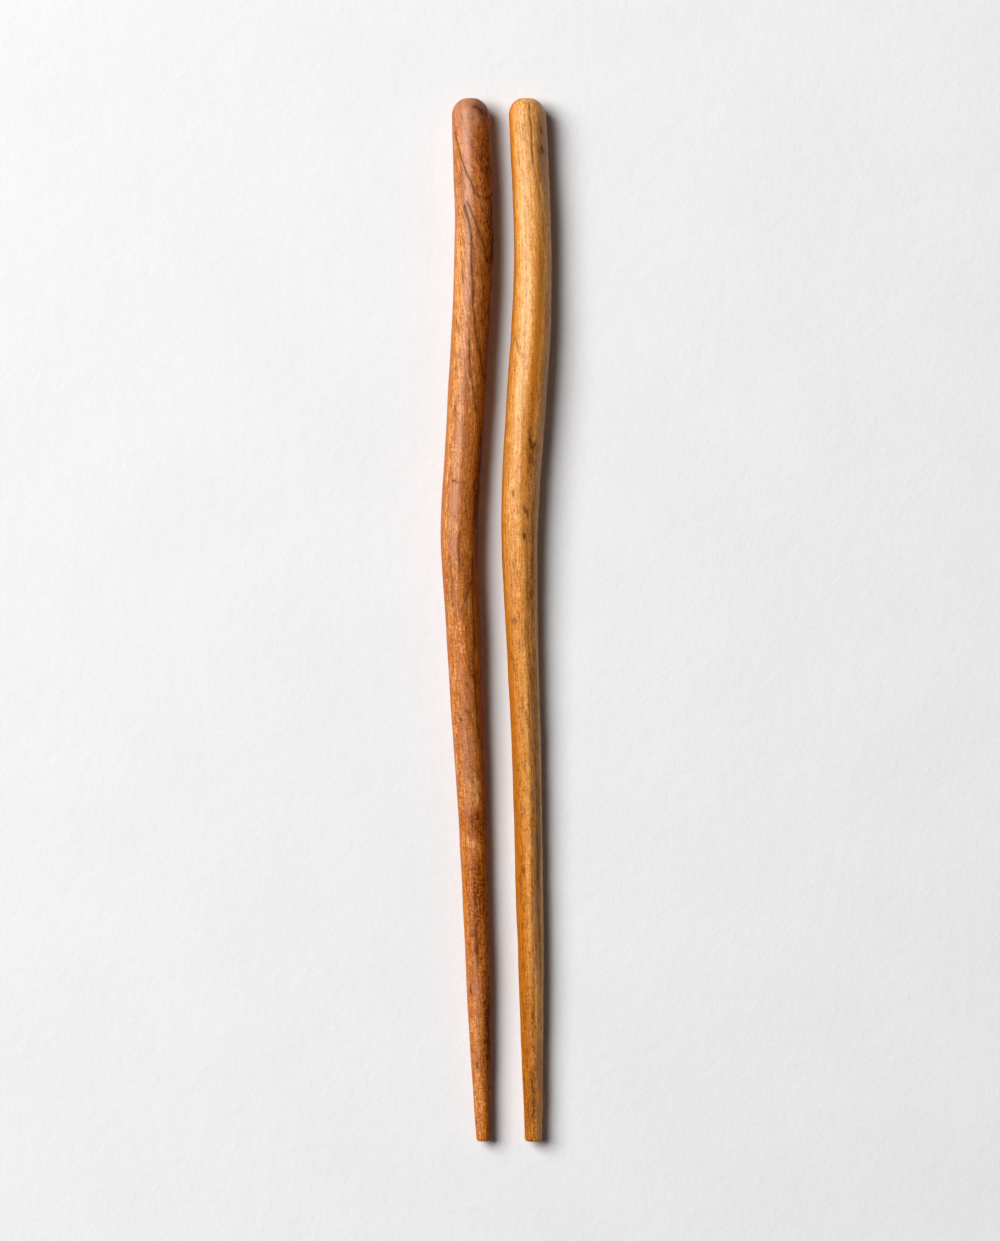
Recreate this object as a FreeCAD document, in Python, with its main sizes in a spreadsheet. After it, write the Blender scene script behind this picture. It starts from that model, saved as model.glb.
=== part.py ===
import FreeCAD, Part
import Sketcher
import math
import os
from collections import namedtuple

# A pair of hand-carved wooden chopsticks lying side by side on a table.
# Lengths are in millimetres. The thick ends point to +Y, the tips to -Y, and Z = 0 is the
# table. The origin is on the table, under the middle of the pair.
# Each stick is lofted along its length through rounded eight-sided sections: the knife left
# eight soft facets that wander round the stick, and the stick bends a little.

FACETS = 8
CROWN_SECTIONS = 4
TIP_SECTIONS = 3

# Stations divide a stick's length into this many equal spaces. Station 0 is moved in to the
# shoulder, where the rounded thick end begins, and the last to where the tip's rounding does.
SPACES = 12

SHARED = {
    "length": 240,         # of each stick
    "crown_length": 4,     # the rounded thick end, from its top to the shoulder
    "crown_start": 20,     # angle round the crown where its small flat top ends, in degrees
    "tip_round": 0.75,     # radius of the tip's rounded edge
    "thick_touch": 20,     # the underside touches the table here, from the thick end
    "thin_touch": 160,     # and again here, and then rises towards the tip
    "thick_rise": 0.4,     # height of the underside at the thick end
    "thin_rise": 1.3,      # height of the underside at the tip
    "arch_rise": 0.2,      # height of the underside midway between the two touching places
}

# A tuple holds one value per station, from the shoulder to the tip. Bend is the sideways
# place of the stick's middle beside its own straight line, and turn is the lean of the
# ridge on top, in degrees. Flatness is a section's depth as a share of its width, and ridge
# softness the radius that rounds its ridges, as a share of half its width.
STICKS = {
    "dark_chopstick": {
        "line": -6.2,
        "bend": (0.3, 1.0, 1.0, 0.0, -1.2, -2.2, -1.4, -0.5, 0.5, 1.3, 2.0, 2.6, 3.3),
        "width": (8.7, 9.1, 9.1, 9.1, 8.8, 8.7, 8.1, 7.5, 6.7, 6.1, 5.7, 4.7, 3.4),
        "turn": (10, 14, 18, 20, 16, 8, 4, 6, 12, 16, 18, 20, 22),
        "flatness": 0.96,
        "ridge_softness": 0.5,
        "crown_shift": -0.15,
    },
    "light_chopstick": {
        "line": 7.2,
        "bend": (0.0, 0.8, 1.2, 0.4, -1.0, -1.8, -1.4, -0.6, 0.0, 0.4, 0.8, 1.1, 1.4),
        "width": (8.7, 8.8, 8.8, 9.2, 9.0, 8.4, 7.5, 6.9, 6.6, 6.3, 5.9, 5.0, 4.1),
        "turn": (-22, -22, -15, -4, -3, -9, -6, 0, 0, 6, 14, 20, 22),
        "flatness": 0.97,
        "ridge_softness": 0.5,
        "crown_shift": -0.25,
    },
}

# One section of a stick, each field but the name an expression over the spreadsheet.
Section = namedtuple("Section", "name half_width half_depth across height turn distance")


def named_sizes():
    """Yield every driving size as a name and a number."""
    yield from SHARED.items()
    for label, sizes in STICKS.items():
        stick = owner(label)
        for name, value in sizes.items():
            if isinstance(value, tuple):
                for station, number in enumerate(value):
                    yield f"{stick}_{name}_{station}", number
            else:
                yield f"{stick}_{name}", value


def owner(label):
    """The first word of a stick's label, which begins the names of its sizes."""
    return label.split("_")[0]


def fill_sheet(doc):
    """Put the driving sizes in a spreadsheet, each cell with its name as alias."""
    sheet = doc.addObject("Spreadsheet::Sheet", "sizes")
    for row, (name, number) in enumerate(named_sizes(), start=1):
        sheet.set(f"A{row}", name)
        sheet.set(f"B{row}", str(number))
        sheet.setAlias(f"B{row}", name)
    doc.recompute()


def distance_to(station):
    """Distance from the top of the thick end to a station."""
    if station == 0:
        return "sizes.crown_length"
    if station == SPACES:
        return "(sizes.length - sizes.tip_round)"
    return f"({station} * sizes.length / {SPACES})"


def underside(distance):
    """Height of the underside above the table at a distance from the thick end."""
    thick = f"sizes.thick_rise * pow(max(0; 1 - {distance} / sizes.thick_touch); 2)"
    thin = (f"sizes.thin_rise * pow(max(0; ({distance} - sizes.thin_touch)"
            f" / (sizes.length - sizes.thin_touch)); 2)")
    share = (f"max(0; min(1; ({distance} - sizes.thick_touch)"
             f" / (sizes.thin_touch - sizes.thick_touch)))")
    arch = f"4 * sizes.arch_rise * {share} * (1 - {share})"
    return f"({thick} + {thin} + {arch})"


def middle_height(distance, half_depth, stick, station):
    """Height of a section's middle, where its lowest corner just meets the underside."""
    lean = (f"(mod(sizes.{stick}_turn_{station} + {360 + 180 / FACETS}; {360 / FACETS})"
            f" - {180 / FACETS})")
    radius = f"{half_depth} * sizes.{stick}_ridge_softness"
    return f"{underside(distance)} + ({half_depth} - {radius}) * cos({lean}) + {radius}"


def crown_sections(stick):
    """Sections round the thick end, from its small flat top to just above the shoulder."""
    half_width = f"sizes.{stick}_width_0 / 2"
    half_depth = f"{half_width} * sizes.{stick}_flatness"
    for place in range(CROWN_SECTIONS):
        angle = f"(sizes.crown_start + (90 - sizes.crown_start) * {place} / {CROWN_SECTIONS})"
        yield Section(
            name=f"{stick}_crown_{place}",
            half_width=f"{half_width} * sin({angle})",
            half_depth=f"{half_depth} * sin({angle})",
            across=(f"sizes.{stick}_line + sizes.{stick}_bend_0"
                    f" + sizes.{stick}_crown_shift * cos({angle})"),
            height=middle_height("sizes.crown_length", half_depth, stick, 0),
            turn=f"sizes.{stick}_turn_0",
            distance=f"sizes.crown_length * (1 - cos({angle}) / cos(sizes.crown_start))")


def shaft_sections(stick):
    """Sections at the stations, from the shoulder to the start of the tip's rounding."""
    for station in range(SPACES + 1):
        half_width = f"sizes.{stick}_width_{station} / 2"
        half_depth = f"{half_width} * sizes.{stick}_flatness"
        distance = distance_to(station)
        yield Section(
            name=f"{stick}_station_{station}",
            half_width=half_width,
            half_depth=half_depth,
            across=f"sizes.{stick}_line + sizes.{stick}_bend_{station}",
            height=middle_height(distance, half_depth, stick, station),
            turn=f"sizes.{stick}_turn_{station}",
            distance=distance)


def tip_sections(stick):
    """Sections round the edge of the tip, out to its small flat end."""
    half_width = f"sizes.{stick}_width_{SPACES} / 2"
    half_depth = f"{half_width} * sizes.{stick}_flatness"
    for place in range(1, TIP_SECTIONS + 1):
        angle = 90 * place / TIP_SECTIONS
        inset = f"sizes.tip_round * (1 - cos({angle}))"
        yield Section(
            name=f"{stick}_tip_{place}",
            half_width=f"{half_width} - {inset}",
            half_depth=f"{half_depth} - {inset}",
            across=f"sizes.{stick}_line + sizes.{stick}_bend_{SPACES}",
            height=middle_height("sizes.length", half_depth, stick, SPACES),
            turn=f"sizes.{stick}_turn_{SPACES}",
            distance=f"{distance_to(SPACES)} + sizes.tip_round * sin({angle})")


def add_sketch(body, stick, section):
    """Sketch a section square to the length of its stick: an octagon with rounded corners."""
    plane = next(part for part in body.Origin.OriginFeatures if part.Role == "XZ_Plane")
    sketch = body.newObject("Sketcher::SketchObject", section.name)
    sketch.AttachmentSupport = (plane, [""])
    sketch.MapMode = "FlatFace"
    about_length = FreeCAD.Rotation(FreeCAD.Vector(0, 0, 1), 1)
    sketch.AttachmentOffset = FreeCAD.Placement(FreeCAD.Vector(0, 0, 0), about_length)
    sketch.setExpression("AttachmentOffset.Base.x", section.across)
    sketch.setExpression("AttachmentOffset.Base.y", section.height)
    sketch.setExpression("AttachmentOffset.Base.z", f"{section.distance} - sizes.length / 2")
    sketch.setExpression("AttachmentOffset.Rotation.Angle", section.turn)

    # The corners are drawn at a size near the real one, and the constraints then set it.
    half_width, radius = 4, 1.4
    half_turn = 180 / FACETS
    angles = [90 + 2 * half_turn * corner for corner in range(FACETS)]
    arcs = [corner_arc(angle, half_turn, half_width, radius) for angle in angles]
    sides = [Part.LineSegment(arc.EndPoint, following.StartPoint)
             for arc, following in zip(arcs, arcs[1:] + arcs[:1])]
    sketch.addGeometry(arcs + sides, False)

    joins = []
    for corner in range(FACETS):
        side = FACETS + corner
        joins.append(Sketcher.Constraint("Tangent", corner, 2, side, 1))
        joins.append(Sketcher.Constraint("Tangent", side, 2, (corner + 1) % FACETS, 1))
    sketch.addConstraint(joins)

    softness = f"sizes.{stick}_ridge_softness"
    ridge_radius = f"({section.half_width}) * {softness}"
    constraints = []
    expressions = []
    for corner, (angle, arc) in enumerate(zip(angles, arcs)):
        centre = (-1, 1, corner, 3)
        constraints.append(Sketcher.Constraint("DistanceX", *centre, arc.Center.x))
        expressions.append(f"(({section.half_width}) - {ridge_radius}) * cos({angle})")
        constraints.append(Sketcher.Constraint("DistanceY", *centre, arc.Center.y))
        expressions.append(f"(({section.half_depth}) - {ridge_radius}) * sin({angle})")
        constraints.append(Sketcher.Constraint("Radius", corner, radius))
        expressions.append(ridge_radius)
    for row, expression in zip(sketch.addConstraint(constraints), expressions):
        sketch.setExpression(f"Constraints[{row}]", expression)
    return sketch


def corner_arc(angle, half_turn, half_width, radius):
    """The rounded corner of an octagon at an angle, both in degrees."""
    out = FreeCAD.Vector(math.cos(math.radians(angle)), math.sin(math.radians(angle)), 0)
    circle = Part.Circle(out * (half_width - radius), FreeCAD.Vector(0, 0, 1), radius)
    return Part.ArcOfCircle(circle, math.radians(angle - half_turn),
                            math.radians(angle + half_turn))


def add_loft(body, name, sketches):
    """Add a smooth solid through a row of section sketches."""
    first, *others = sketches
    loft = body.newObject("PartDesign::AdditiveLoft", name)
    loft.Profile = first
    loft.Sections = others
    loft.Ruled = False
    loft.Closed = False
    body.Tip = loft


def add_stick(doc, label):
    """Loft a stick's shaft, then its rounded thick end and the rounded edge of its tip."""
    stick = owner(label)
    body = doc.addObject("PartDesign::Body", label)
    crown = [add_sketch(body, stick, section) for section in crown_sections(stick)]
    shaft = [add_sketch(body, stick, section) for section in shaft_sections(stick)]
    tip = [add_sketch(body, stick, section) for section in tip_sections(stick)]
    add_loft(body, f"{stick}_shaft", shaft)
    add_loft(body, f"{stick}_crown", crown + shaft[:1])
    add_loft(body, f"{stick}_tip", shaft[-1:] + tip)
    doc.recompute()
    return body


def check(doc, bodies):
    """Stop if an object failed or a stick isn't one sound solid."""
    for item in doc.Objects:
        if "Invalid" in item.State or "Error" in item.State:
            raise RuntimeError(f"{item.Name} failed: {item.State}")
    for body in bodies:
        shape = body.Shape
        if shape.isNull() or not shape.isValid() or len(shape.Solids) != 1:
            raise RuntimeError(f"{body.Label} isn't one sound solid")


def main():
    doc = FreeCAD.newDocument("chopsticks")
    fill_sheet(doc)
    bodies = [add_stick(doc, label) for label in STICKS]
    check(doc, bodies)
    os.makedirs("parts", exist_ok=True)
    for body in bodies:
        body.Shape.exportStep(f"parts/{body.Label}.step")


main()
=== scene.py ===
"""A pair of hand-carved wooden chopsticks, lying side by side on a sheet of textured paper."""

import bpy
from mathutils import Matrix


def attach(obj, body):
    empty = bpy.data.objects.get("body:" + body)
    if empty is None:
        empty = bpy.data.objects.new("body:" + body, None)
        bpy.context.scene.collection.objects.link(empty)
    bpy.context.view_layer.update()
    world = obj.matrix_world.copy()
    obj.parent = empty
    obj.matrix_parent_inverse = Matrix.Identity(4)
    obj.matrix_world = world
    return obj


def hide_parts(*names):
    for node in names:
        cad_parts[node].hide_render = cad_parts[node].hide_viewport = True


bl_info = {
    "name": "Carved Chopsticks",
    "version": (1, 0, 0),
    "blender": (4, 5, 0),
    "location": "View3D > Sidebar > Chopsticks",
    "description": "Makes a pair of hand-carved wooden chopsticks on a sheet of paper",
    "category": "Add Mesh",
}

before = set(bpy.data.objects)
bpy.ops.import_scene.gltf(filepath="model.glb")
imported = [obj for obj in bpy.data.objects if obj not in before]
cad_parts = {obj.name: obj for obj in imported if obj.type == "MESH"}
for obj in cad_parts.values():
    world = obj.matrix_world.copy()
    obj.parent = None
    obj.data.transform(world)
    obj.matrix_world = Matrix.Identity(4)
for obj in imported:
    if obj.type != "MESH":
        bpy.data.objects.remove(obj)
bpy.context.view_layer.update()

from collections import namedtuple

import bpy
import numpy as np
from bpy.props import FloatProperty, FloatVectorProperty, PointerProperty

# Shapes are worked out in millimetres, and MM brings them to metres. The thick ends point to
# +Y, the tips to -Y, and Z = 0 is the paper.
MM = 0.001

# The knife left eight soft facets round each stick.
FACETS = 8
HALF_FACET = np.pi / FACETS

# The stations divide a stick's length into this many spaces, as in the frame's solids.
SPACES = 12

# The rounding of the thick end starts at this angle from its nearly flat top, and eases into
# it over this many millimetres.
CROWN_START = np.radians(20)
CROWN_EASE = 0.12

# The grid of each stick: points round a ring, and rings along its parts.
ROUND = 144
CROWN_RINGS = 22
SHAFT_RINGS = 600
TIP_RINGS = 8
END_RINGS = 3

# The underside of a stick touches the paper at two places and rises a little between them
# and towards both ends. Distances are from the thick end.
THICK_TOUCH = 20
THIN_TOUCH = 160
THICK_RISE = 0.4
THIN_RISE = 1.3
ARCH_RISE = 0.2

# The waves that the knife left: how many are added up, between which lengths and how many
# times round the stick they go, and what brings their sum down to about 1.
WAVES = 14
WAVE_LENGTHS = (9, 45)
WAVE_TURNS = (1, 5)
WAVE_SUM = 5

# Near the ends, distances round a stick are measured as if its radius were at least this.
LEAST_RADIUS = 0.5

# A line's steps are each cut into this many straight runs, and its mark reaches at most this
# far past its ends. It sways to both sides by this much, faster than the knife's waves.
RUNS_PER_STEP = 6
LINE_MARGIN = 4
SWAY = 0.12
SWAY_PACE = 3

# Added to a run's squared length, so that it is never nought.
TINY = 1e-9

# A mark has a dark core and a faint halo. Their breadths are shares of the line's width, and
# the halo's strength is a share of the core's.
CORE_BREADTH = 0.85
HALO_BREADTH = 2.6
HALO_STRENGTH = 0.25

# How much a pale line lightens the wood.
PALE_TONE = 0.5

# A line is a grain line, scratch or check, or a painted highlight or reflection along a
# ridge or rim. Its points are a distance from the thick end and a share of the way across
# from the left edge, as seen from above.
Line = namedtuple("Line", "points width depth")

# A patch is a soft oval where the wood's colour differs, or where shade, light, a highlight or
# a reflection is painted: a distance from the thick end, a share across, half its length and
# half its breadth in millimetres, and how much.
Patch = namedtuple("Patch", "along across length breadth amount")

# What one stick is made from. Line is where its straight middle line runs. Bend, width and
# turn are at the stations: how far its middle is off that line, how wide it is, and the lean
# of the ridge on top, in degrees. Crown shift moves the rounded end sideways, and seed starts
# the knife's waves. Lean and curl go by distance from the thick end: how far the fibres slant
# sideways and upwards, and how curly they are. Layers is the direction in which the growth
# rings follow each other. Lines are dark ones and pale are light ones, tones are lighter or
# darker patches, and warm are more orange patches, or greyer ones where the amount is negative.
# Some tones, warm patches and pale lines are painted shade, light, highlights and reflections, as
# noted where they are listed.
Stick = namedtuple(
    "Stick", "line bend width turn crown_shift seed lean layers lines pale tones warm curl")

DARK = Stick(
    line=-6.2,
    bend=(0.3, 1.0, 1.0, 0.0, -1.2, -2.2, -1.4, -0.5, 0.5, 1.3, 2.0, 2.6, 3.3),
    width=(8.7, 9.1, 9.1, 9.1, 8.8, 8.7, 8.1, 7.5, 6.7, 6.1, 5.7, 4.7, 3.4),
    turn=(10, 14, 18, 20, 16, 8, 4, 6, 12, 16, 18, 20, 22),
    crown_shift=-0.15,
    seed=4,
    lean=((0, 0.20, 0.25), (25, 0.17, 0.12), (60, 0.12, 0.0), (100, 0.02, 0.0), (240, 0.01, 0.0)),
    layers=(0.72, 0.0, 0.70),
    lines=(
        Line(((8, 0.08), (12, 0.17), (17, 0.31), (19, 0.41), (22, 0.55), (23, 0.69), (23, 0.87),
              (21.5, 1.0)), 0.3, 0.8),
        Line(((2.2, 0.60), (2.3, 0.70), (3.4, 0.80)), 0.45, 0.9),
        Line(((9, 0.62), (12, 0.73), (14, 0.83), (14.5, 0.95)), 0.28, 0.55),
        Line(((17.5, 0.17), (21, 0.27)), 0.5, 0.4),
        Line(((25, 0.27), (31, 0.40), (37, 0.44), (43, 0.49), (48, 0.52),
              (52, 0.59), (56, 0.69), (60, 0.78), (63.5, 0.87), (64, 0.95)), 0.32, 0.85),
        Line(((24, 0.34), (29, 0.54), (33, 0.70), (36, 0.80), (37.5, 0.84)), 0.3, 0.7),
        Line(((31, 0.99), (35, 0.96), (37, 0.98)), 0.7, 0.7),
        Line(((56, 0.48), (60, 0.50), (64, 0.57), (68, 0.66), (72, 0.76)), 0.35, 0.75),
        Line(((39, 0.21), (42.5, 0.24)), 0.28, 0.5),
        Line(((51, 0.13), (54, 0.16)), 0.3, 0.5),
        Line(((59, 0.16), (62, 0.18)), 0.3, 0.4),
        Line(((70, 0.20), (72, 0.22)), 0.3, 0.5),
        Line(((88, 0.26), (88.3, 0.38)), 0.2, 0.9),
        Line(((88.3, 0.40), (88.7, 0.56)), 0.2, 0.4),
        Line(((100, 0.48), (109, 0.47)), 0.3, 0.55),
        Line(((105, 0.22), (117, 0.25)), 0.3, 0.4),
        Line(((118, 0.46), (116, 0.56), (113, 0.70), (111, 0.80)), 0.32, 0.6),
        Line(((106, 0.82), (115, 0.81), (125, 0.79), (134, 0.76), (140, 0.78), (147, 0.81)),
             0.45, 0.72),
        Line(((141, 0.50), (141.3, 0.52)), 0.32, 0.95),
        Line(((142.5, 0.27), (143, 0.30)), 0.25, 0.8),
        Line(((134.5, 0.50), (135, 0.53)), 0.25, 0.7),
        Line(((156, 0.42), (157, 0.55), (158.5, 0.70), (161, 0.80)), 0.35, 0.45),
        Line(((153.5, 0.50), (154.5, 0.66), (156, 0.80)), 0.3, 0.35),
        Line(((190, 0.50), (199, 0.48)), 0.35, 0.35),
        Line(((204.5, 0.14), (205.5, 0.15)), 0.28, 0.8),
        Line(((222, 0.28), (223, 0.31)), 0.35, 0.9),
    ),
    pale=(
        Line(((9, 0.13), (13, 0.22), (18, 0.36), (20, 0.46)), 0.4, 0.35),
        Line(((25, 0.33), (31, 0.46), (37, 0.50), (48, 0.57)), 0.5, 0.3),
        Line(((108, 0.87), (122, 0.85), (130, 0.83)), 0.35, 0.8),
        Line(((157, 0.36), (156.5, 0.60), (159, 0.86)), 0.5, 0.4),
        Line(((170, 0.30), (172, 0.45), (171, 0.60), (173.5, 0.75)), 0.4, 0.5),
        Line(((55, 0.52), (60, 0.56), (66, 0.66)), 0.4, 0.4),
    ),
    tones=(
        # The first two patches run the whole length: the right side darker is painted shade, and the
        # left side lighter is painted light from the lamp on the left.
        Patch(120, 1.0, 190, 1.8, -0.35), Patch(120, 0.2, 140, 2.2, 0.15),
        # Patch(22, 0.36) lightens the wood where the lamp's highlight falls: painted highlight.
        Patch(2, 0.5, 5, 6, -0.3), Patch(22, 0.36, 16, 1.0, 0.25),
        Patch(16, 0.75, 8, 2.4, -0.3), Patch(30, 0.95, 14, 2.0, -0.2),
        Patch(45, 0.8, 14, 2.0, -0.1), Patch(35, 0.1, 18, 1.5, 0.25),
        Patch(70, 0.15, 25, 1.5, 0.2), Patch(60, 0.95, 20, 1.2, -0.2),
        Patch(90, 0.95, 16, 1.6, -0.4), Patch(130, 0.70, 6, 1.2, -0.35),
        Patch(118, 0.90, 16, 0.5, 0.5), Patch(160, 0.62, 4, 1.7, 0.45),
        Patch(166, 0.6, 3, 2.4, -0.4), Patch(172, 0.5, 2, 2.2, 0.25),
        Patch(181, 0.65, 9, 1.6, -0.45), Patch(193, 0.5, 7, 1.2, -0.25),
        Patch(215, 0.85, 9, 1.1, -0.4), Patch(228, 0.3, 10, 1.2, 0.25),
    ),
    warm=(
        # Patch(24, 0.36) and Patch(90, 0.35) turn the wood pinkish where the lamp's highlight falls:
        # painted highlight.
        Patch(3, 0.4, 6, 5, -0.8), Patch(24, 0.36, 20, 1.1, -0.8),
        Patch(90, 0.35, 16, 1.5, -0.6), Patch(150, 0.5, 20, 2.5, -0.5),
        Patch(208, 0.45, 14, 2.0, -0.6), Patch(70, 0.03, 60, 1.4, 0.5),
        # Patch(110, 0.95), deep orange along the whole right side, is painted shade; it also dulls
        # the shine there.
        Patch(185, 0.1, 20, 1.2, 0.5), Patch(110, 0.95, 160, 2.4, 0.9),
    ),
    curl=((0, 0.2), (90, 0.25), (130, 0.5), (160, 1.0), (240, 1.0)),
)

LIGHT = Stick(
    line=7.2,
    bend=(0.0, 0.8, 1.2, 0.4, -1.0, -1.8, -1.4, -0.6, 0.0, 0.4, 0.8, 1.1, 1.4),
    width=(8.7, 8.8, 8.8, 9.2, 9.0, 8.4, 7.5, 6.9, 6.6, 6.3, 5.9, 5.0, 4.1),
    turn=(-22, -22, -15, -4, -3, -9, -6, 0, 0, 6, 14, 20, 22),
    crown_shift=-0.25,
    seed=9,
    lean=((0, 0.03, 0.02), (35, 0.06, 0.0), (70, 0.01, 0.0), (240, 0.02, 0.0)),
    layers=(0.92, 0.0, 0.39),
    lines=(
        Line(((1.5, 0.57), (9, 0.57), (15, 0.58)), 0.24, 0.8),
        Line(((15, 0.58), (18, 0.62), (22, 0.70), (27, 0.77), (33, 0.79)), 0.26, 0.45),
        Line(((6, 0.745), (19, 0.75)), 0.3, 0.35),
        Line(((7, 0.84), (8, 0.86)), 0.6, 0.6),
        Line(((11.5, 0.84), (12.5, 0.86)), 0.6, 0.7),
        Line(((6.5, 0.38), (10, 0.34)), 0.35, 0.4),
        Line(((57.5, 0.04), (55.5, 0.10), (55.5, 0.14), (57.5, 0.20), (59, 0.25)), 0.22, 0.6),
        Line(((78.5, 0.66), (80.5, 0.73), (79.5, 0.78)), 0.34, 1.0),
        Line(((76.5, 0.62), (78, 0.68)), 0.3, 0.5),
        Line(((90.6, 0.29), (91.4, 0.31)), 0.36, 0.8),
        Line(((94, 0.62), (95.3, 0.65), (94.8, 0.69), (96.3, 0.72)), 0.3, 0.9),
        Line(((100.4, 0.62), (101.2, 0.635)), 0.4, 1.0),
        Line(((120.5, 0.22), (119.7, 0.28), (120.3, 0.36)), 0.25, 0.6),
        Line(((93, 0.83), (103, 0.86), (115, 0.84)), 0.45, 0.3),
        Line(((131, 0.78), (136, 0.79)), 0.4, 0.4),
        Line(((108, 0.70), (130, 0.74), (165, 0.71), (200, 0.72)), 0.28, 0.35),
        Line(((112, 0.80), (140, 0.83), (170, 0.80), (192, 0.80)), 0.3, 0.4),
        Line(((120, 0.61), (150, 0.65), (180, 0.61), (212, 0.60)), 0.25, 0.35),
        Line(((128, 0.90), (160, 0.91), (185, 0.90)), 0.25, 0.4),
        Line(((141, 0.53), (143, 0.55), (144.5, 0.60), (142.5, 0.60)), 0.35, 0.5),
        Line(((177, 0.27), (178, 0.28)), 0.3, 0.55),
        Line(((169, 0.80), (181, 0.83)), 0.4, 0.4),
        Line(((192, 0.86), (200, 0.86)), 0.4, 0.4),
        Line(((223, 0.50), (234, 0.50)), 0.35, 0.5),
    ),
    pale=(
        Line(((1.5, 0.63), (9, 0.63), (17, 0.64), (21, 0.76), (27, 0.83)), 0.3, 0.6),
        Line(((78, 0.72), (82, 0.80)), 0.5, 0.3),
        Line(((130, 0.83), (138, 0.84)), 0.4, 0.4),
        # The last two pale lines are painted: a highlight along the ridge towards the tip, and the
        # lit paper's reflection along the right rim.
        Line(((128, 0.55), (160, 0.50), (195, 0.47), (225, 0.45)), 0.45, 0.18),
        Line(((145, 0.97), (185, 0.97), (222, 0.96)), 0.5, 0.4),
    ),
    tones=(
        Patch(28, 0.45, 46, 5.0, 0.24), Patch(215, 0.5, 70, 9.0, -0.10),
        # Patch(100, 1.0) and Patch(185, 0.95) lighten the right rim: painted reflection of the lit
        # paper.
        Patch(100, 1.0, 120, 1.2, 0.2), Patch(72, 0.62, 14, 1.6, -0.3),
        Patch(185, 0.95, 60, 1.3, 0.4), Patch(26, 0.0, 40, 1.2, -0.45),
        Patch(12, 0.86, 10, 1.3, -0.4), Patch(40, 0.3, 40, 1.8, 0.1),
        Patch(80, 0.25, 30, 1.6, 0.1), Patch(82, 0.75, 4, 1.3, -0.45),
        Patch(108, 0.86, 14, 0.9, -0.35), Patch(190, 0.15, 40, 1.0, -0.1),
        Patch(160, 0.8, 50, 1.4, -0.2), Patch(228, 0.5, 14, 3.0, -0.2),
    ),
    warm=(
        Patch(110, 0.0, 170, 1.7, 1.2), Patch(84, 0.8, 10, 1.2, -0.5),
        Patch(215, 0.12, 95, 2.3, 0.85), Patch(185, 0.78, 70, 1.5, -0.6),
        # Patch(120, 1.0) greys the right rim along the whole length: painted reflection of the lit
        # paper.
        Patch(14, 0.9, 14, 1.6, -0.7), Patch(120, 1.0, 160, 0.9, -0.5),
        Patch(60, 0.68, 60, 1.4, 0.6), Patch(18, 0.04, 30, 1.2, 0.5),
    ),
    curl=((0, 0.1), (60, 0.5), (90, 0.35), (150, 0.6), (240, 0.5)),
)

# A figure is noise over the wood's fibres: its frequency across, along and down them, its
# detail, roughness and swirl, and how far from its middle the darkest and palest places are.
Figure = namedtuple("Figure", "frequency detail roughness swirl reach")

STREAK = Figure((1.3, 0.06, 1.3), 3, 0.5, 0.0, 0.2)
THREAD = Figure((2.5, 0.34, 2.5), 3, 0.65, 0.0, 0.18)
SPECKLE = Figure((2.6, 1.7, 2.6), 2, 0.6, 0.0, 0.16)
MOTTLE = Figure((0.42, 0.16, 0.42), 2, 0.5, 0.0, 0.15)
CURL = Figure((0.9, 2.0, 0.9), 3, 0.5, 1.2, 0.2)
PORE_FREQUENCY = (2.8, 0.7, 2.8)

# The growth rings: the frequency and depth of their drift, and their own frequency and
# detail.
DRIFT_FREQUENCY = (0.09, 0.02, 0.09)
DRIFT_DEPTH = 6.0
RING_FREQUENCY = 0.55
RING_DETAIL = 2.5

# How much each part of the grain lightens the wood, roughens it and raises it.
LIGHTENS = {"tone": 0.9, "band": 0.07, "streak": 0.08, "thread": 0.20, "speckle": 0.13,
            "mottle": 0.05, "curled": 0.16}
ROUGHENS = {"thread": 0.05, "marks": 0.12, "pores": 0.10}
RAISES = {"thread": 0.25, "curled": 0.30, "streak": 0.2, "marks": -0.8, "pores": -0.4}

# A ramp carries a value from one range to another: low, high, and what they become.
BAND_RAMP = (0.3, 0.7, -1.0, 1.0)
RING_EDGE_RAMP = (0.0, 0.05, 0.20, 0.0)
PORE_RAMP = (0.61, 0.73, 0.0, 1.0)
LOWER_RAMP = (0.0, 0.5, 0.0, 1.0)
UPPER_RAMP = (0.5, 1.0, 0.0, 1.0)
DUSKY_RAMP = (0.0, -0.8, 0.0, 0.75)
AMBER_RAMP = (0.0, 0.8, 0.0, 1.0)
BREAK_RAMP = (-1.0, 0.8, 1.0, 0.8)
OPEN_RAMP = (0.0, 0.8, 0.6, 0.25)
POLISH_RAMP = (40.0, 150.0, 0.42, 0.14)
AMBER_DULL_RAMP = (-0.2, 0.8, 1.0, 0.25)
MARK_DULL_RAMP = (0.1, 0.8, 1.0, 0.2)

# How much the mottle spreads the dusky places.
DUSKY_MOTTLE = 0.2

# The wood's bump and its depth in millimetres, and its index of refraction.
WOOD_BUMP = 0.5
WOOD_DEPTH = 0.05
WOOD_IOR = 1.48

# The paper: frequencies per metre of its pulp, its tooth and its faint clouds, the tooth's
# share of the relief, and the bump with its depth in millimetres.
PULP_FREQUENCY = 260
TOOTH_FREQUENCY = 900
CLOUD_FREQUENCY = 35
CLOUD_RAMP = (0.3, 0.7, 0.98, 1.0)
TOOTH_SHARE = 0.45
PAPER_BUMP = 0.4
PAPER_DEPTH = 0.3
PAPER_ROUGHNESS = 0.95
PAPER_GLOSS = 0.1

# The stage, in metres: half the paper's side, the soft box with its angle from straight up
# and towards the thick ends, and the height of a direction where the horizon's glow ends.
PAPER_HALF = 3.0
LAMP_DISTANCE = 2.4
LAMP_SIZE = 1.6
LAMP_LEAN = np.radians(40)
LAMP_BEARING = np.radians(27)
HORIZON_GLOW = 0.1

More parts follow.
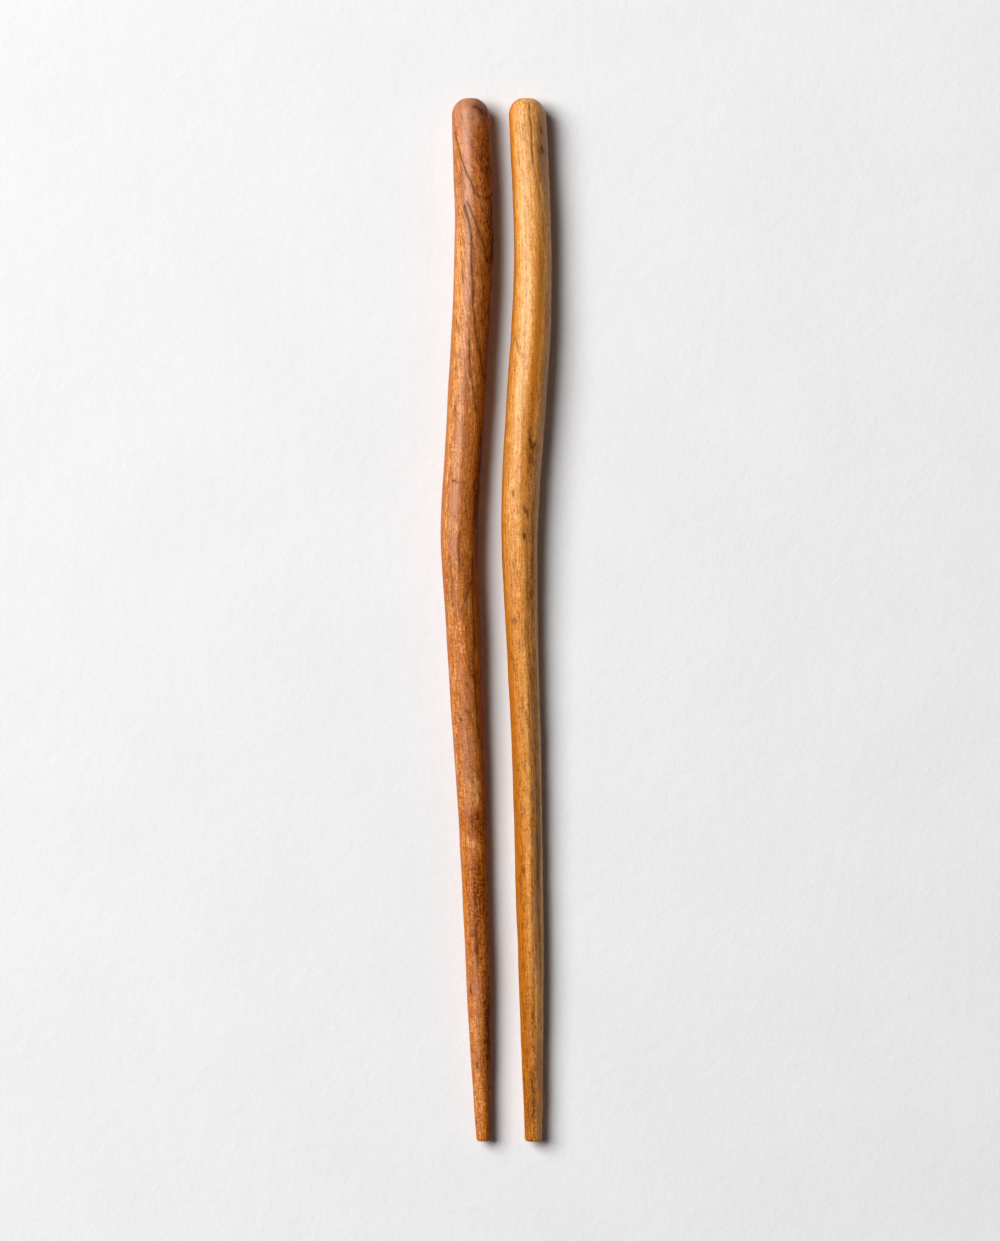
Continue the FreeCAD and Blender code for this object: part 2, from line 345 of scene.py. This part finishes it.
# The place that the camera looks down on, the width of its sensor in millimetres, and how
# far it sees in metres.
VIEW_CENTRE = (0.00089, -0.0001)
SENSOR = 36.0
FAR_SIGHT = 20


# Properties

def length_property(name, description, default):
    """A length in metres."""
    return FloatProperty(name=name, description=description, default=default, min=0,
                         subtype="DISTANCE", unit="LENGTH", precision=5)


def colour_property(name, description, default):
    """A colour without cover."""
    return FloatVectorProperty(name=name, description=description, default=default,
                               min=0, max=1, size=3, subtype="COLOR")


def share_property(name, description, default):
    """A share from 0 to 1."""
    return FloatProperty(name=name, description=description, default=default,
                         min=0, max=1, subtype="FACTOR")


class DarkStickSettings(bpy.types.PropertyGroup):
    """Sizes and colours of the darker chopstick"""
    length: length_property("Length", "From the thick end to the tip", 0.24)
    crown_length: length_property("Crown", "Length of the rounded thick end", 0.004)
    tip_round: length_property("Tip rounding", "Radius of the tip's rounded edge", 0.00075)
    flatness: share_property("Flatness", "Depth as a share of the width", 0.96)
    ridge_softness: share_property("Ridge softness", "Radius of the ridges, of half the width", 0.8)
    waviness: length_property("Waviness", "How far the knife strayed in and out", 0.00006)
    deep: colour_property("Deep colour", "Wood in the darkest layers", (0.13, 0.026, 0.0015))
    body: colour_property("Body colour", "Most of the wood", (0.45, 0.122, 0.017))
    bright: colour_property("Bright colour", "Wood in the palest layers", (0.76, 0.34, 0.10))
    # On this stick the amber colour also paints the deep shade along its right side.
    amber: colour_property("Amber colour", "Wood where it is most orange", (0.51, 0.138, 0.007))
    # On this stick the dusky colour also gives the pinkish painted highlight a third of the way
    # across.
    dusky: colour_property("Dusky colour", "Wood with a pinkish brown cast", (0.52, 0.20, 0.095))
    mark: colour_property("Mark colour", "Grain lines and checks", (0.03, 0.007, 0.002))
    roughness: share_property("Roughness", "Roughness of the oiled wood", 0.42)


class LightStickSettings(bpy.types.PropertyGroup):
    """Sizes and colours of the lighter chopstick"""
    length: length_property("Length", "From the thick end to the tip", 0.24)
    crown_length: length_property("Crown", "Length of the rounded thick end", 0.004)
    tip_round: length_property("Tip rounding", "Radius of the tip's rounded edge", 0.00075)
    flatness: share_property("Flatness", "Depth as a share of the width", 0.97)
    ridge_softness: share_property("Ridge softness", "Radius of the ridges, of half the width", 0.75)
    waviness: length_property("Waviness", "How far the knife strayed in and out", 0.00006)
    deep: colour_property("Deep colour", "Wood in the darkest layers", (0.25, 0.075, 0.008))
    body: colour_property("Body colour", "Most of the wood", (0.66, 0.252, 0.044))
    bright: colour_property("Bright colour", "Wood in the palest layers", (0.87, 0.46, 0.15))
    amber: colour_property("Amber colour", "Wood where it is most orange", (0.53, 0.16, 0.009))
    # On this stick the dusky colour also greys the right rim, as a painted reflection of the lit
    # paper.
    dusky: colour_property("Dusky colour", "Wood with a greyish brown cast", (0.46, 0.22, 0.10))
    mark: colour_property("Mark colour", "Grain lines and checks", (0.05, 0.014, 0.004))
    roughness: share_property("Roughness", "Roughness of the oiled wood", 0.42)


class StageSettings(bpy.types.PropertyGroup):
    """Paper, light and camera"""
    paper: colour_property("Paper colour", "The sheet that the sticks lie on", (0.78, 0.78, 0.785))
    lamp_power: FloatProperty(name="Lamp power", description="Power of the soft box, in watts",
                              default=90, min=0)
    fill: FloatProperty(name="Fill", description="Strength of the light from overhead",
                        default=0.065, min=0)
    camera_height: length_property("Camera height", "From the paper to the camera", 1.6)
    view_height: length_property("View height", "What the picture shows from top to bottom", 0.2862)


# Shape

def curve_through(places, values, at):
    """The natural cubic spline through values at places, read at other places.

    Its second slopes solve the usual three-term equations, and are nought at both ends.
    """
    places = np.asarray(places, float)
    values = np.asarray(values, float)
    gaps = np.diff(places)
    count = len(places)
    terms = np.eye(count)
    wanted = np.zeros(count)
    inner = np.arange(1, count - 1)
    terms[inner, inner - 1] = gaps[:-1]
    terms[inner, inner] = 2 * (gaps[:-1] + gaps[1:])
    terms[inner, inner + 1] = gaps[1:]
    wanted[inner] = 6 * np.diff(np.diff(values) / gaps)
    second = np.linalg.solve(terms, wanted)
    piece = np.clip(np.searchsorted(places, at) - 1, 0, count - 2)
    gap = gaps[piece]
    before = at - places[piece]
    after = places[piece + 1] - at
    return ((second[piece] * after ** 3 + second[piece + 1] * before ** 3) / (6 * gap)
            + (values[piece] / gap - second[piece] * gap / 6) * after
            + (values[piece + 1] / gap - second[piece + 1] * gap / 6) * before)


def underside(distance, length):
    """Height of the underside: two rising parabolas at the ends and a low arch between."""
    thick = THICK_RISE * np.maximum(0, 1 - distance / THICK_TOUCH) ** 2
    thin = THIN_RISE * np.maximum(0, (distance - THIN_TOUCH) / (length - THIN_TOUCH)) ** 2
    share = np.clip((distance - THICK_TOUCH) / (THIN_TOUCH - THICK_TOUCH), 0, 1)
    return thick + thin + 4 * ARCH_RISE * share * (1 - share)


def off_ridge(angle):
    """Angle from the nearest ridge, with its sign, of an angle from any ridge."""
    return (angle + HALF_FACET) % (2 * HALF_FACET) - HALF_FACET


def facet_radius(angle, softness):
    """Distance to the edge of an eight-sided section of half width 1 with rounded ridges.

    Angle is from a ridge. Near it the edge is a circle of the softness as radius, set in
    from the ridge, and past the point where that meets the side it is the straight side.
    """
    inset = 1 - softness
    from_ridge = np.abs(off_ridge(angle))
    meets = np.arctan2(softness * np.sin(HALF_FACET), inset + softness * np.cos(HALF_FACET))
    ridge = inset * np.cos(from_ridge) + np.sqrt(
        np.maximum(0, softness ** 2 - (inset * np.sin(from_ridge)) ** 2))
    side = (inset * np.cos(HALF_FACET) + softness) / np.cos(HALF_FACET - from_ridge)
    return np.where(from_ridge <= meets, ridge, side)


def ripples(along, angle, seed):
    """A low relief between about -1 and 1: a sum of slow waves that close round the stick."""
    draw = np.random.default_rng(seed)
    total = np.zeros(np.broadcast(along, angle).shape)
    for _ in range(WAVES):
        wavelength = draw.uniform(*WAVE_LENGTHS)
        turns = draw.integers(*WAVE_TURNS) * draw.choice((-1, 1))
        phase = draw.uniform(0, 2 * np.pi)
        total += np.cos(2 * np.pi * along / wavelength + turns * angle + phase)
    return total / WAVE_SUM


Rings = namedtuple("Rings", "distance swell inset shrink")


def ring_places(length, crown_length, tip_round):
    """Where the rings lie, from the top of the crown to the middle of the tip's flat end.

    On the crown a ring's size follows a quarter ellipse (swell) whose top is cut off nearly
    flat, round the tip's edge it follows a quarter circle (inset), and on the flat end it
    shrinks evenly to the middle.
    """
    crown = np.linspace(0, np.pi / 2, CROWN_RINGS, endpoint=False)[1:]
    depth = crown_length * (1 - np.cos(crown) / np.cos(CROWN_START))
    depth = (depth + np.hypot(depth, CROWN_EASE)) / 2
    shaft = np.linspace(crown_length, length - tip_round, SHAFT_RINGS)
    edge = np.linspace(0, np.pi / 2, TIP_RINGS + 1)[1:]
    flat = np.linspace(1, 0, END_RINGS + 1)[1:-1]
    past_edge = length - tip_round * (1 - np.sin(edge))
    distance = np.concatenate((depth, shaft, past_edge, np.full(len(flat), length)))
    swell = np.concatenate((np.sin(crown), np.ones(len(shaft) + len(edge) + len(flat))))
    inset = np.concatenate((np.zeros(len(crown) + len(shaft)), tip_round * (1 - np.cos(edge)),
                            np.full(len(flat), tip_round)))
    shrink = np.concatenate((np.ones(len(crown) + len(shaft) + len(edge)), flat))
    return Rings(distance, swell, inset, shrink)


Surface = namedtuple("Surface", "points middle distance angle radius")


def stick_surface(stick, settings):
    """The surface of a stick as rings of points, in millimetres.

    A point is the section's middle plus its radius in the direction of its angle. Middle,
    width and turn run through the stations as natural splines.
    """
    length = settings.length / MM
    crown_length = settings.crown_length / MM
    tip_round = settings.tip_round / MM
    stations = np.arange(SPACES + 1) * length / SPACES
    stations[0] = crown_length
    stations[-1] = length - tip_round
    half_widths = np.array(stick.width) / 2
    leans = np.radians(stick.turn)
    rings = ring_places(length, crown_length, tip_round)
    read_at = np.clip(rings.distance, stations[0], stations[-1])

    softness = settings.ridge_softness
    half_depths = half_widths * settings.flatness
    heights = underside(stations, length) + half_depths * (
        (1 - softness) * np.cos(off_ridge(leans)) + softness)
    across = curve_through(stations, stick.line + np.array(stick.bend), read_at)
    height = curve_through(stations, heights, read_at)
    half_width = curve_through(stations, half_widths, read_at)
    turn = curve_through(stations, leans, read_at)

    past_shoulder = np.clip(1 - rings.distance / crown_length, 0, 1)
    across = across + stick.crown_shift * past_shoulder
    half_width = (half_width * rings.swell - rings.inset) * rings.shrink

    angle = np.linspace(0, 2 * np.pi, ROUND, endpoint=False)
    local = angle[None, :] - turn[:, None]
    radius = half_width[:, None] * facet_radius(local - np.pi / 2, softness)
    wave = ripples(rings.distance[:, None], angle[None, :], stick.seed)
    fade = np.clip(half_width / half_widths[-1], 0, 1)[:, None]
    radius = radius + settings.waviness / MM * wave * fade
    side = radius * np.cos(local)
    up = radius * np.sin(local) * settings.flatness
    points = np.empty(radius.shape + (3,))
    points[..., 0] = across[:, None] + side * np.cos(turn)[:, None] - up * np.sin(turn)[:, None]
    points[..., 1] = length / 2 - rings.distance[:, None]
    points[..., 2] = height[:, None] + side * np.sin(turn)[:, None] + up * np.cos(turn)[:, None]
    points[..., 2] = np.maximum(points[..., 2], 0)
    middle = np.stack((across, length / 2 - rings.distance, height), axis=-1)
    return Surface(points, middle, rings.distance, angle, np.maximum(half_width, LEAST_RADIUS))


def ring_mesh(name, surface):
    """A closed mesh of rings of points, with a point at the middle of each end.

    The point on the crown stands out by a third of the gap between the first two rings.
    """
    rings, columns = surface.points.shape[:2]
    ends = surface.points[[0, -1]].mean(axis=1)
    ends[0, 1] = surface.middle[0, 1] + (surface.middle[0, 1] - surface.middle[1, 1]) / 3
    points = np.concatenate((surface.points.reshape(-1, 3), ends)) * MM
    row = np.arange(rings - 1)[:, None] * columns
    here = np.arange(columns)[None, :]
    after = (here + 1) % columns
    corners = (row + here, row + columns + here, row + columns + after, row + after)
    quads = np.stack(corners, axis=-1).reshape(-1, 4)
    crown_point = rings * columns
    last = (rings - 1) * columns
    crown = np.stack((np.full(columns, crown_point), here[0], after[0]), axis=-1)
    tip = np.stack((np.full(columns, crown_point + 1), last + after[0], last + here[0]), axis=-1)
    mesh = bpy.data.meshes.new(name)
    mesh.from_pydata(points, [], quads.tolist() + crown.tolist() + tip.tolist())
    mesh.shade_smooth()
    return mesh


# Grain that follows the surface

def seen_angle(across):
    """Angle from straight up, towards +X, of a place seen a share of the way across."""
    return np.arcsin(np.clip(2 * across - 1, -1, 1))


def around(surface, along, across, rows=slice(None)):
    """Distance over the surface from every point to a place, as along and round parts."""
    from_top = np.pi / 2 - surface.angle
    turned = (from_top[None, :] - seen_angle(across) + np.pi) % (2 * np.pi) - np.pi
    return surface.distance[rows, None] - along, turned * surface.radius[rows, None]


def line_runs(line):
    """The ends of a line's short straight runs, on a natural spline through its points."""
    points = np.array(line.points, float)
    steps = len(points) - 1
    read_at = np.linspace(0, steps, RUNS_PER_STEP * steps + 1)
    return np.stack([curve_through(np.arange(steps + 1), part, read_at) for part in points.T],
                    axis=-1)


def line_field(surface, lines, sway):
    """How strongly each point is marked by the nearest grain lines, from 0 to 1.

    A line is cut into short straight runs, and a point's mark falls off with its distance
    to the nearest run as a bell curve of the line's width, with a wide faint halo round it.
    """
    clear = np.ones(surface.points.shape[:2])
    for line in lines:
        runs = line_runs(line)
        rows = np.flatnonzero((surface.distance > runs[:, 0].min() - LINE_MARGIN)
                              & (surface.distance < runs[:, 0].max() + LINE_MARGIN))
        nearest = np.inf
        for start, end in zip(runs[:-1], runs[1:]):
            along, round_part = around(surface, start[0], start[1], rows)
            run = end[0] - start[0]
            reach = (seen_angle(end[1]) - seen_angle(start[1])) * surface.radius[rows, None]
            span = run ** 2 + reach ** 2 + TINY
            share = np.clip((along * run + round_part * reach) / span, 0, 1)
            gap = np.hypot(along - share * run, round_part + sway[rows] - share * reach)
            nearest = np.minimum(nearest, gap)
        core = np.exp(-(nearest / (CORE_BREADTH * line.width)) ** 2)
        halo = np.exp(-(nearest / (HALO_BREADTH * line.width)) ** 2)
        clear[rows] *= (1 - line.depth * core) * (1 - HALO_STRENGTH * line.depth * halo)
    return 1 - clear


def patch_field(surface, patches):
    """The sum of soft ovals, each falling off as a bell curve along and round the stick."""
    total = np.zeros(surface.points.shape[:2])
    for patch in patches:
        along, round_part = around(surface, patch.along, patch.across)
        total += patch.amount * np.exp(
            -(along / patch.length) ** 2 - (round_part / patch.breadth) ** 2)
    return total


def read_stops(surface, stops):
    """The values of stops by distance from the thick end, read at every ring."""
    places, *columns = np.array(stops, float).T
    return [np.interp(surface.distance, places, column) for column in columns]


def fibre_field(surface, stick):
    """Places in the uncut wood, with the second axis along its fibres.

    The fibres lean across the stick, so their shift is the sum of the lean along it.
    """
    steps = np.gradient(surface.distance)
    sideways, upwards = read_stops(surface, stick.lean)
    field = surface.points - surface.middle[:, None, :]
    field[..., 0] -= np.cumsum(sideways * steps)[:, None]
    field[..., 2] -= np.cumsum(upwards * steps)[:, None]
    field[..., 1] = surface.distance[:, None]
    return field


def store(mesh, name, values):
    """Keep a number or a vector for every point of a ring mesh, and its mean at the ends."""
    flat = values.reshape(-1, *values.shape[2:])
    ends = np.stack((values[0].mean(axis=0), values[-1].mean(axis=0)))
    flat = np.concatenate((flat, ends)).astype(np.float32)
    if values.ndim == 3:
        attribute = mesh.attributes.new(name, "FLOAT_VECTOR", "POINT")
        attribute.data.foreach_set("vector", flat.ravel())
    else:
        attribute = mesh.attributes.new(name, "FLOAT", "POINT")
        attribute.data.foreach_set("value", flat)


def add_object(name, data):
    """Put a mesh, light or camera in the scene."""
    thing = bpy.data.objects.new(name, data)
    bpy.context.scene.collection.objects.link(thing)
    return thing


def add_stick(name, stick, settings):
    """Carve one stick, mark its grain and give it its wood."""
    surface = stick_surface(stick, settings)
    mesh = ring_mesh(name, surface)
    pace = SWAY_PACE * surface.distance[:, None]
    sway = SWAY * ripples(pace, surface.angle[None, :], stick.seed + 1)
    pale = PALE_TONE * line_field(surface, stick.pale, sway)
    curl, = read_stops(surface, stick.curl)
    store(mesh, "marks", line_field(surface, stick.lines, sway))
    # The tone and the warmth hold painted shade, light, highlights and reflections too.
    store(mesh, "tone", patch_field(surface, stick.tones) + pale)
    store(mesh, "warmth", patch_field(surface, stick.warm))
    store(mesh, "curl", np.repeat(curl[:, None], ROUND, axis=1))
    store(mesh, "fibre", fibre_field(surface, stick))
    mesh.materials.append(oiled_wood(name + "_wood", stick.layers, settings))
    return add_object(name, mesh)


# Materials

def emptied(owner):
    """The node tree of a new material or world, without its first nodes."""
    owner.use_nodes = True
    owner.node_tree.nodes.clear()
    return owner.node_tree


def plug(tree, socket, value):
    """Join a socket to another node's output, or set its value."""
    if isinstance(value, bpy.types.NodeSocket):
        tree.links.new(value, socket)
    else:
        socket.default_value = value


def add_node(tree, kind, values=None, **choices):
    """Add a node, make its choices and fill the named sockets."""
    node = tree.nodes.new(kind)
    for name, choice in choices.items():
        setattr(node, name, choice)
    for name, value in (values or {}).items():
        plug(tree, node.inputs[name], value)
    return node


def arithmetic(tree, operation, *values, kind="ShaderNodeMath"):
    """The node for one step of arithmetic, with its first sockets filled."""
    node = add_node(tree, kind, operation=operation)
    for socket, value in zip(node.inputs, values):
        plug(tree, socket, value)
    return node


def product(tree, first, second):
    """One value times another."""
    return arithmetic(tree, "MULTIPLY", first, second).outputs[0]


def multiply_add(tree, value, weight, start):
    """A start plus a value times its weight."""
    return arithmetic(tree, "MULTIPLY_ADD", value, weight, start).outputs[0]


def remap(tree, value, low, high, to_low, to_high):
    """Carry a value from one range to another, with a soft start and end."""
    node = add_node(tree, "ShaderNodeMapRange", interpolation_type="SMOOTHSTEP")
    for socket, number in zip(node.inputs, (value, low, high, to_low, to_high)):
        plug(tree, socket, number)
    return node.outputs[0]


def mixed(tree, factor, first, second, blend="MIX"):
    """Two colours mixed."""
    node = add_node(tree, "ShaderNodeMix", data_type="RGBA", blend_type=blend)
    plug(tree, node.inputs[0], factor)
    plug(tree, node.inputs[6], first)
    plug(tree, node.inputs[7], second)
    return node.outputs[2]


def noise(tree, place, frequency, detail, roughness=0.5, swirl=0.0):
    """Noise with its own frequency along each axis."""
    stretched = arithmetic(tree, "MULTIPLY", place, frequency, kind="ShaderNodeVectorMath")
    node = add_node(tree, "ShaderNodeTexNoise", {
        "Vector": stretched.outputs[0], "Scale": 1.0, "Detail": detail,
        "Roughness": roughness, "Distortion": swirl})
    return node.outputs["Fac"]


def figured(tree, fibre, figure):
    """A figure of the wood, from -1 where it is darkest to 1 where it is palest."""
    grey = noise(tree, fibre, figure.frequency, figure.detail, figure.roughness, figure.swirl)
    return remap(tree, grey, 0.5 - figure.reach, 0.5 + figure.reach, -1.0, 1.0)


def stored(tree, name, output="Fac"):
    """A value that the mesh keeps for each of its points."""
    return add_node(tree, "ShaderNodeAttribute", attribute_name=name).outputs[output]


def opaque(colour):
    """A colour with full cover."""
    return (*colour, 1.0)


def bumped(tree, height, strength, depth):
    """The surface's direction, tilted by a relief of a depth in millimetres."""
    node = add_node(tree, "ShaderNodeBump", {
        "Height": height, "Strength": strength, "Distance": depth * MM})
    return node.outputs["Normal"]


def finish(tree, values):
    """Give a material one surface with these values."""
    surface = add_node(tree, "ShaderNodeBsdfPrincipled", values)
    add_node(tree, "ShaderNodeOutputMaterial", {"Surface": surface.outputs["BSDF"]})


# Tone and warmth carry painted shade, light, highlights and reflections besides the wood's own
# colour.
Grain = namedtuple(
    "Grain", "fibre marks tone warmth rings band streak thread speckle mottle curled pores")


def growth_rings(tree, fibre, layers):
    """Noise in one direction through the wood, which the stick's surface cuts at a slant."""
    drift = noise(tree, fibre, DRIFT_FREQUENCY, detail=1)
    depth = arithmetic(tree, "DOT_PRODUCT", fibre, layers, kind="ShaderNodeVectorMath")
    depth = multiply_add(tree, drift, DRIFT_DEPTH, depth.outputs["Value"])
    node = add_node(tree, "ShaderNodeTexNoise", {
        "W": depth, "Scale": RING_FREQUENCY, "Detail": RING_DETAIL}, noise_dimensions="1D")
    return node.outputs["Fac"]


def read_grain(tree, layers):
    """Every part of the grain, from what the mesh keeps and from figures over its fibres."""
    fibre = stored(tree, "fibre", "Vector")
    rings = growth_rings(tree, fibre, layers)
    pores = noise(tree, fibre, PORE_FREQUENCY, detail=1)
    return Grain(
        fibre=fibre,
        marks=stored(tree, "marks"),
        tone=stored(tree, "tone"),
        warmth=stored(tree, "warmth"),
        rings=rings,
        band=remap(tree, rings, *BAND_RAMP),
        streak=figured(tree, fibre, STREAK),
        thread=figured(tree, fibre, THREAD),
        speckle=figured(tree, fibre, SPECKLE),
        mottle=figured(tree, fibre, MOTTLE),
        curled=product(tree, figured(tree, fibre, CURL), stored(tree, "curl")),
        pores=remap(tree, pores, *PORE_RAMP))


def added_up(tree, start, grain, weights):
    """A start plus each weighted part of the grain."""
    for part, weight in weights.items():
        start = multiply_add(tree, getattr(grain, part), weight, start)
    return start


def wood_colour(tree, grain, settings):
    """Deep, body and bright wood by its shade, tinted, and then the lines and pores over it."""
    deep = opaque(settings.deep)
    mark = opaque(settings.mark)
    shade = added_up(tree, 0.5, grain, LIGHTENS)
    lower = remap(tree, shade, *LOWER_RAMP)
    colour = mixed(tree, lower, deep, opaque(settings.body))
    colour = mixed(tree, remap(tree, shade, *UPPER_RAMP), colour, opaque(settings.bright))

    coolness = multiply_add(tree, grain.mottle, DUSKY_MOTTLE, grain.warmth)
    colour = mixed(tree, remap(tree, coolness, *DUSKY_RAMP), colour, opaque(settings.dusky))
    orange = mixed(tree, lower, deep, opaque(settings.amber))
    colour = mixed(tree, remap(tree, grain.warmth, *AMBER_RAMP), colour, orange)

    from_edge = arithmetic(tree, "SUBTRACT", grain.rings, 0.5).outputs[0]
    from_edge = arithmetic(tree, "ABSOLUTE", from_edge).outputs[0]
    colour = mixed(tree, remap(tree, from_edge, *RING_EDGE_RAMP), colour, mark)
    broken = product(tree, grain.marks, remap(tree, grain.thread, *BREAK_RAMP))
    colour = mixed(tree, broken, colour, mark)
    open_pores = product(tree, grain.pores, remap(tree, grain.warmth, *OPEN_RAMP))
    return mixed(tree, open_pores, colour, deep)


def wood_gloss(tree, grain):
    """How much the wood shines: most in the thick half, and less on orange wood and lines."""
    distance = add_node(tree, "ShaderNodeSeparateXYZ", {"Vector": grain.fibre}).outputs["Y"]
    polish = remap(tree, distance, *POLISH_RAMP)
    gloss = product(tree, polish, remap(tree, grain.warmth, *AMBER_DULL_RAMP))
    return product(tree, gloss, remap(tree, grain.marks, *MARK_DULL_RAMP))


def oiled_wood(name, layers, settings):
    """Hand-scraped wood with growth rings, fibres, pores and a satin oil finish."""
    material = bpy.data.materials.new(name)
    tree = emptied(material)
    grain = read_grain(tree, layers)
    relief = added_up(tree, 0.5, grain, RAISES)
    finish(tree, {
        "Base Color": wood_colour(tree, grain, settings),
        "Roughness": added_up(tree, settings.roughness, grain, ROUGHENS),
        "Specular IOR Level": wood_gloss(tree, grain),
        "Normal": bumped(tree, relief, WOOD_BUMP, WOOD_DEPTH),
        "IOR": WOOD_IOR})
    return material


def rough_paper(name, colour):
    """Thick white paper with a fine uneven tooth."""
    material = bpy.data.materials.new(name)
    tree = emptied(material)
    place = add_node(tree, "ShaderNodeTexCoord").outputs["Object"]
    pulp = noise(tree, place, (PULP_FREQUENCY,) * 3, detail=4, roughness=0.6)
    tooth = noise(tree, place, (TOOTH_FREQUENCY,) * 3, detail=3, roughness=0.6)
    cloud = noise(tree, place, (CLOUD_FREQUENCY,) * 3, detail=2)
    relief = multiply_add(tree, tooth, TOOTH_SHARE, pulp)
    finish(tree, {
        "Base Color": mixed(tree, 1.0, opaque(colour), remap(tree, cloud, *CLOUD_RAMP), "MULTIPLY"),
        "Roughness": PAPER_ROUGHNESS,
        "Specular IOR Level": PAPER_GLOSS,
        "Normal": bumped(tree, relief, PAPER_BUMP, PAPER_DEPTH)})
    return material


# Stage

def add_paper(settings):
    """One large square sheet, with its middle under the sticks."""
    mesh = bpy.data.meshes.new("paper")
    corners = [(-PAPER_HALF, -PAPER_HALF, 0), (PAPER_HALF, -PAPER_HALF, 0),
               (PAPER_HALF, PAPER_HALF, 0), (-PAPER_HALF, PAPER_HALF, 0)]
    mesh.from_pydata(corners, [], [(0, 1, 2, 3)])
    mesh.materials.append(rough_paper("rough_paper", settings.paper))
    add_object("paper", mesh)


def add_lamp(settings):
    """A soft box to the left, a little towards the thick ends, turned to face the sticks."""
    light = bpy.data.lights.new("soft_box", "AREA")
    light.shape = "SQUARE"
    light.size = LAMP_SIZE
    light.energy = settings.lamp_power
    lamp = add_object("soft_box", light)
    lamp.location = (-LAMP_DISTANCE * np.sin(LAMP_LEAN) * np.cos(LAMP_BEARING),
                     LAMP_DISTANCE * np.sin(LAMP_LEAN) * np.sin(LAMP_BEARING),
                     LAMP_DISTANCE * np.cos(LAMP_LEAN))
    lamp.rotation_euler = lamp.location.to_track_quat("Z", "Y").to_euler()


def add_world(settings):
    """A dark room overhead, and pale from just above the horizon down, where the paper ends."""
    world = bpy.data.worlds.new("studio")
    tree = emptied(world)
    direction = add_node(tree, "ShaderNodeTexCoord").outputs["Generated"]
    height = add_node(tree, "ShaderNodeSeparateXYZ", {"Vector": direction}).outputs["Z"]
    strength = remap(tree, height, 0.0, HORIZON_GLOW, 1.0, settings.fill)
    sky = add_node(tree, "ShaderNodeBackground", {
        "Color": opaque(settings.paper), "Strength": strength})
    add_node(tree, "ShaderNodeOutputWorld", {"Surface": sky.outputs[0]})
    bpy.context.scene.world = world


def add_camera(settings):
    """A long lens that looks straight down, with the thick ends at the top of the picture."""
    lens = bpy.data.cameras.new("camera")
    lens.sensor_width = SENSOR
    lens.lens = SENSOR * settings.camera_height / settings.view_height
    lens.clip_end = FAR_SIGHT
    camera = add_object("camera", lens)
    camera.location = (*VIEW_CENTRE, settings.camera_height)
    bpy.context.scene.camera = camera


# Operators

class CHOPSTICKS_OT_carve_dark(bpy.types.Operator):
    """Carve the darker chopstick, on the left"""
    bl_idname = "chopsticks.carve_dark"
    bl_label = "Carve dark chopstick"

    def execute(self, context):
        piece = add_stick("dark_stick", DARK, context.scene.dark_stick)
        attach(piece, "root")
        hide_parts("dark_chopstick")
        return {"FINISHED"}


class CHOPSTICKS_OT_carve_light(bpy.types.Operator):
    """Carve the lighter chopstick, on the right"""
    bl_idname = "chopsticks.carve_light"
    bl_label = "Carve light chopstick"

    def execute(self, context):
        piece = add_stick("light_stick", LIGHT, context.scene.light_stick)
        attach(piece, "root")
        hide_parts("light_chopstick")
        return {"FINISHED"}


class CHOPSTICKS_OT_set_stage(bpy.types.Operator):
    """Lay the paper and set up the lamp, the room and the camera"""
    bl_idname = "chopsticks.set_stage"
    bl_label = "Set stage"

    def execute(self, context):
        settings = context.scene.chopsticks_stage
        add_paper(settings)
        add_lamp(settings)
        add_world(settings)
        add_camera(settings)
        context.scene.view_settings.view_transform = "Standard"
        return {"FINISHED"}


OPERATORS = (CHOPSTICKS_OT_carve_dark, CHOPSTICKS_OT_carve_light, CHOPSTICKS_OT_set_stage)
GROUPS = (("dark_stick", DarkStickSettings), ("light_stick", LightStickSettings),
          ("chopsticks_stage", StageSettings))


class CHOPSTICKS_PT_panel(bpy.types.Panel):
    """The operators, in the order in which they are used"""
    bl_label = "Chopsticks"
    bl_idname = "CHOPSTICKS_PT_panel"
    bl_space_type = "VIEW_3D"
    bl_region_type = "UI"
    bl_category = "Chopsticks"

    def draw(self, context):
        for operator in OPERATORS:
            self.layout.operator(operator.bl_idname)


def register():
    """Add the settings to the scene, and the operators and their panel."""
    for name, group in GROUPS:
        bpy.utils.register_class(group)
        setattr(bpy.types.Scene, name, PointerProperty(type=group))
    for operator in OPERATORS:
        bpy.utils.register_class(operator)
    bpy.utils.register_class(CHOPSTICKS_PT_panel)


def unregister():
    """Take away all that register added, in the opposite order."""
    bpy.utils.unregister_class(CHOPSTICKS_PT_panel)
    for operator in reversed(OPERATORS):
        bpy.utils.unregister_class(operator)
    for name, group in reversed(GROUPS):
        delattr(bpy.types.Scene, name)
        bpy.utils.unregister_class(group)


def main():
    """Make the sticks and the stage."""
    register()
    bpy.ops.chopsticks.carve_dark()
    bpy.ops.chopsticks.carve_light()
    bpy.ops.chopsticks.set_stage()


if __name__ == "__main__":
    main()
